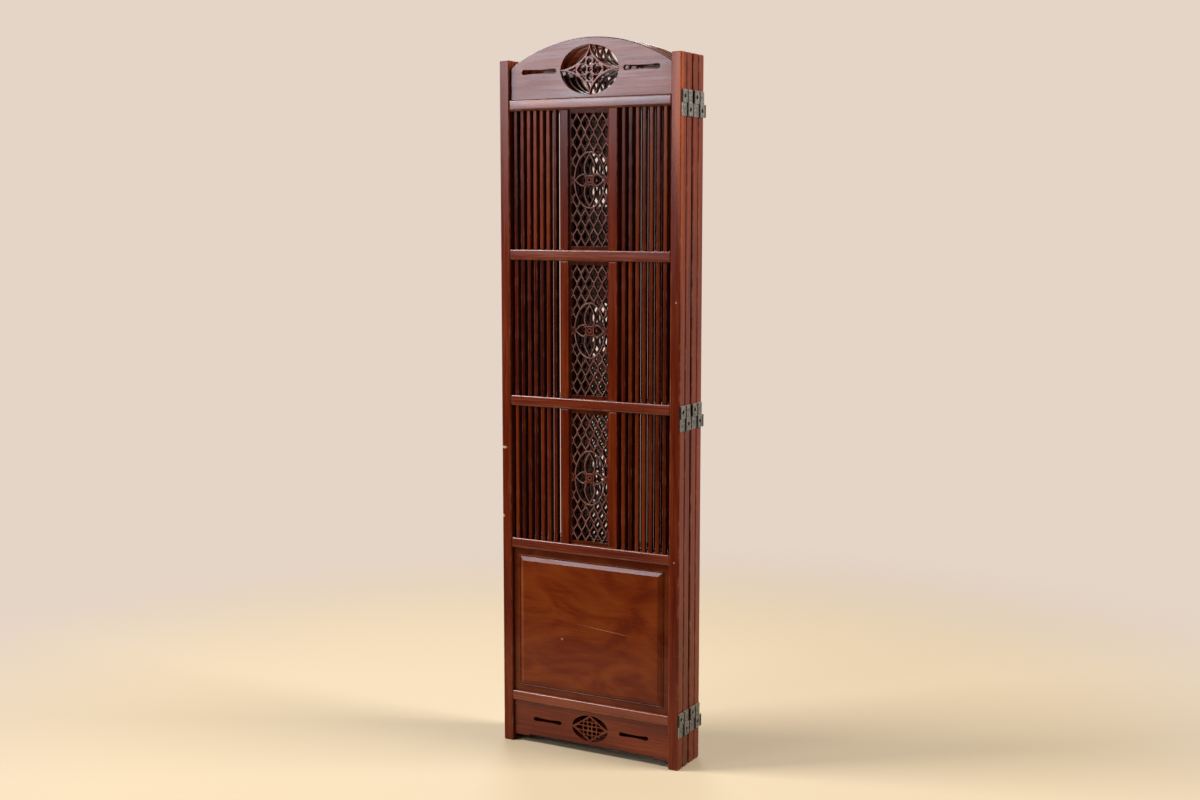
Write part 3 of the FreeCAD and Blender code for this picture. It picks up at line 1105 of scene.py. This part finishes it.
def add_barrels(prefix, joint, which, body, knuckles):
    """The rolled barrel round each pin, cut into knuckles."""
    node = f"{prefix}_{which}_pins"
    low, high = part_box(node)
    middle = (low + high) / 2
    bottoms, length = hinge_spans(prefix, joint, node)
    bm = new_bmesh()
    for bottom in bottoms:
        profile = [(barrel_radius - knuckle_groove, bottom)]
        for k in range(knuckles):
            lower = bottom + length * k / knuckles
            upper = bottom + length * (k + 1) / knuckles
            profile += [(barrel_radius, lower + knuckle_groove), (barrel_radius, upper - knuckle_groove),
                        (barrel_radius - knuckle_groove, upper)]
        # the barrels are painted dark as shade
        turned(bm, middle.x, middle.y, profile, barrel_painted_shade)
    add_metal(node, bm, body)


def add_hinges(joint):
    """The hinges of a fold: each part rides on the front or the rear panel."""
    prefix = joint["name"].replace("fold_", "hinge")
    front, rear = joint["parent"], joint["child"]
    add_leaves(prefix, joint, "front", front)
    add_leaves(prefix, joint, "rear", rear)
    add_links(prefix, joint, "upper", front)
    add_links(prefix, joint, "lower", rear)
    add_barrels(prefix, joint, "front", front, knuckles=2)
    add_barrels(prefix, joint, "middle", front, knuckles=4)
    add_barrels(prefix, joint, "rear", rear, knuckles=2)


fret_shape = fret_board()
crest_shape = carved_board("panel1_crest_board", crest_loops, crest_ease)
apron_shape = carved_board("panel1_apron", apron_loops, apron_ease)
for number in range(1, panel_count + 1):
    carrier = f"panel_{number}"
    add_stiles(number, carrier)
    add_rails(number, carrier)
    add_mullions(number, carrier)
    add_slats(number, carrier)
    add_frets(number, carrier, fret_shape)
    add_carved(number, carrier, "crest_board", crest_shape, from_top=False)
    add_carved(number, carrier, "apron", apron_shape, from_top=True)
    add_raised_panel(number, carrier)
for fold in frame["joints"]:
    add_hinges(fold)

# Stage: a plain pale floor that fades into the pale background
background = (0.78, 0.665, 0.575)
floor_colour = (0.45, 0.355, 0.235)
floor_roughness = 0.6
floor_specular = 0.2
floor_radius = 14.0
floor_sides = 96
fade_start = 1.0
fade_end = 2.6
ambient_colour = (1, 0.98, 0.96)
ambient_strength = 0.08

# The unlit room before the set
room_colour = (0.02, 0.02, 0.02)
room_start = -0.9
room_wall = -4.6
room_side = 6.0
room_height = 4.5
room_lift = 0.004

# Softboxes: name, place, aim, width, height, watts and colour
softboxes = (
    ("key", (-1.87, -3.35, 2.1), (0, 0, 1.4), 1.2, 0.75, 58, (0.78, 0.89, 1)),
    ("main", (-2.9, -1.7, 4.2), (0, 0, 0.9), 1.5, 1.5, 355, (1, 1, 1)),
    ("side", (3.2, 0.8, 3.5), (0.2, 0, 1.4), 1.6, 1.6, 260, (1, 1, 1)),
    ("back", (-2.2, 3.2, 2.6), (0, 0, 0.9), 1.6, 1.6, 45, (1, 1, 1)),
)

# Camera: place in metres, angles in degrees, lens and sensor in millimetres
camera_place = (1.7946, -3.2448, 1.2956)
camera_yaw = -28.94
camera_pitch = -6.76
camera_lens = 47.0
camera_sensor = 36.0


def seen_directly(tree):
    """1 for rays that show the background itself: straight, mirrored or through glass."""
    path = add_node(tree, "LightPath").outputs
    mirrored = math_node(tree, "MAXIMUM", path["Is Camera Ray"], path["Is Glossy Ray"])
    return math_node(tree, "MAXIMUM", mirrored, path["Is Transmission Ray"])


def show_mixed(tree, output, share, first, second):
    """Sends two shaders, mixed by a share of the second, to an output."""
    mixed = add_node(tree, "MixShader", in0=share, in1=first.outputs[0], in2=second.outputs[0])
    tree.links.new(mixed.outputs[0], tree.nodes[output].inputs["Surface"])


def add_floor():
    bm = bmesh.new()
    bmesh.ops.create_circle(bm, cap_ends=True, segments=floor_sides, radius=floor_radius)
    mesh = bpy.data.meshes.new("floor")
    bm.to_mesh(mesh)
    bm.free()
    floor = new_object("floor", mesh)
    material, tree, bsdf = new_material("floor")
    set_inputs(tree, bsdf, {"Base Color": (*floor_colour, 1), "Roughness": floor_roughness,
                            "Specular IOR Level": floor_specular})
    distance = length_of(tree, object_place(tree))
    fade = map_range(tree, distance, fade_start, fade_end, 0.0, 1.0, "SMOOTHSTEP")
    glow = add_node(tree, "Emission", Color=(*background, 1), Strength=1.0)
    share = math_node(tree, "MULTIPLY", fade, seen_directly(tree))
    show_mixed(tree, "Material Output", share, bsdf, glow)
    mesh.materials.append(material)


def add_dark_room():
    """A dark floor and wall that only the object's gloss shows."""
    corners = ((-room_side, room_start, room_lift), (-room_side, room_wall, room_lift),
               (room_side, room_wall, room_lift), (room_side, room_start, room_lift),
               (-room_side, room_wall, room_height), (room_side, room_wall, room_height))
    mesh = bpy.data.meshes.new("dark_room")
    mesh.from_pydata(corners, [], [(0, 1, 2, 3), (1, 4, 5, 2)])
    room = new_object("dark_room", mesh)
    room.visible_camera = False
    room.visible_diffuse = False
    room.visible_transmission = False
    room.visible_shadow = False
    material, tree, bsdf = new_material("dark_room")
    set_inputs(tree, bsdf, {"Base Color": (*room_colour, 1), "Roughness": 1.0})
    back = add_node(tree, "NewGeometry").outputs["Backfacing"]
    show_mixed(tree, "Material Output", back, bsdf, add_node(tree, "BsdfTransparent"))
    mesh.materials.append(material)


def add_world():
    world = bpy.data.worlds.new("studio")
    world.use_nodes = True
    scene.world = world
    tree = world.node_tree
    shown = tree.nodes["Background"]
    shown.inputs["Color"].default_value = (*background, 1)
    ambient = add_node(tree, "Background", Color=(*ambient_colour, 1), Strength=ambient_strength)
    show_mixed(tree, "World Output", seen_directly(tree), ambient, shown)


def add_softbox(name, place, aim, width, height, power, colour):
    light = bpy.data.lights.new(name, "AREA")
    light.shape = "RECTANGLE"
    light.size = width
    light.size_y = height
    light.energy = power
    light.color = colour
    lamp = new_object(name, light)
    lamp.location = place
    lamp.rotation_euler = (Vector(aim) - Vector(place)).to_track_quat("-Z", "Y").to_euler()


def add_camera():
    """The photograph's view: from the right, a little above the middle, looking slightly down."""
    yaw = math.radians(camera_yaw)
    pitch = math.radians(camera_pitch)
    camera = bpy.data.cameras.new("camera")
    camera.lens = camera_lens
    camera.sensor_width = camera_sensor
    holder = new_object("camera", camera)
    holder.location = camera_place
    ahead = Vector((math.sin(yaw) * math.cos(pitch), math.cos(yaw) * math.cos(pitch), math.sin(pitch)))
    holder.rotation_euler = ahead.to_track_quat("-Z", "Y").to_euler()
    scene.camera = holder


add_floor()
add_dark_room()
add_world()
for softbox in softboxes:
    add_softbox(*softbox)
add_camera()
scene.view_settings.view_transform = "Standard"
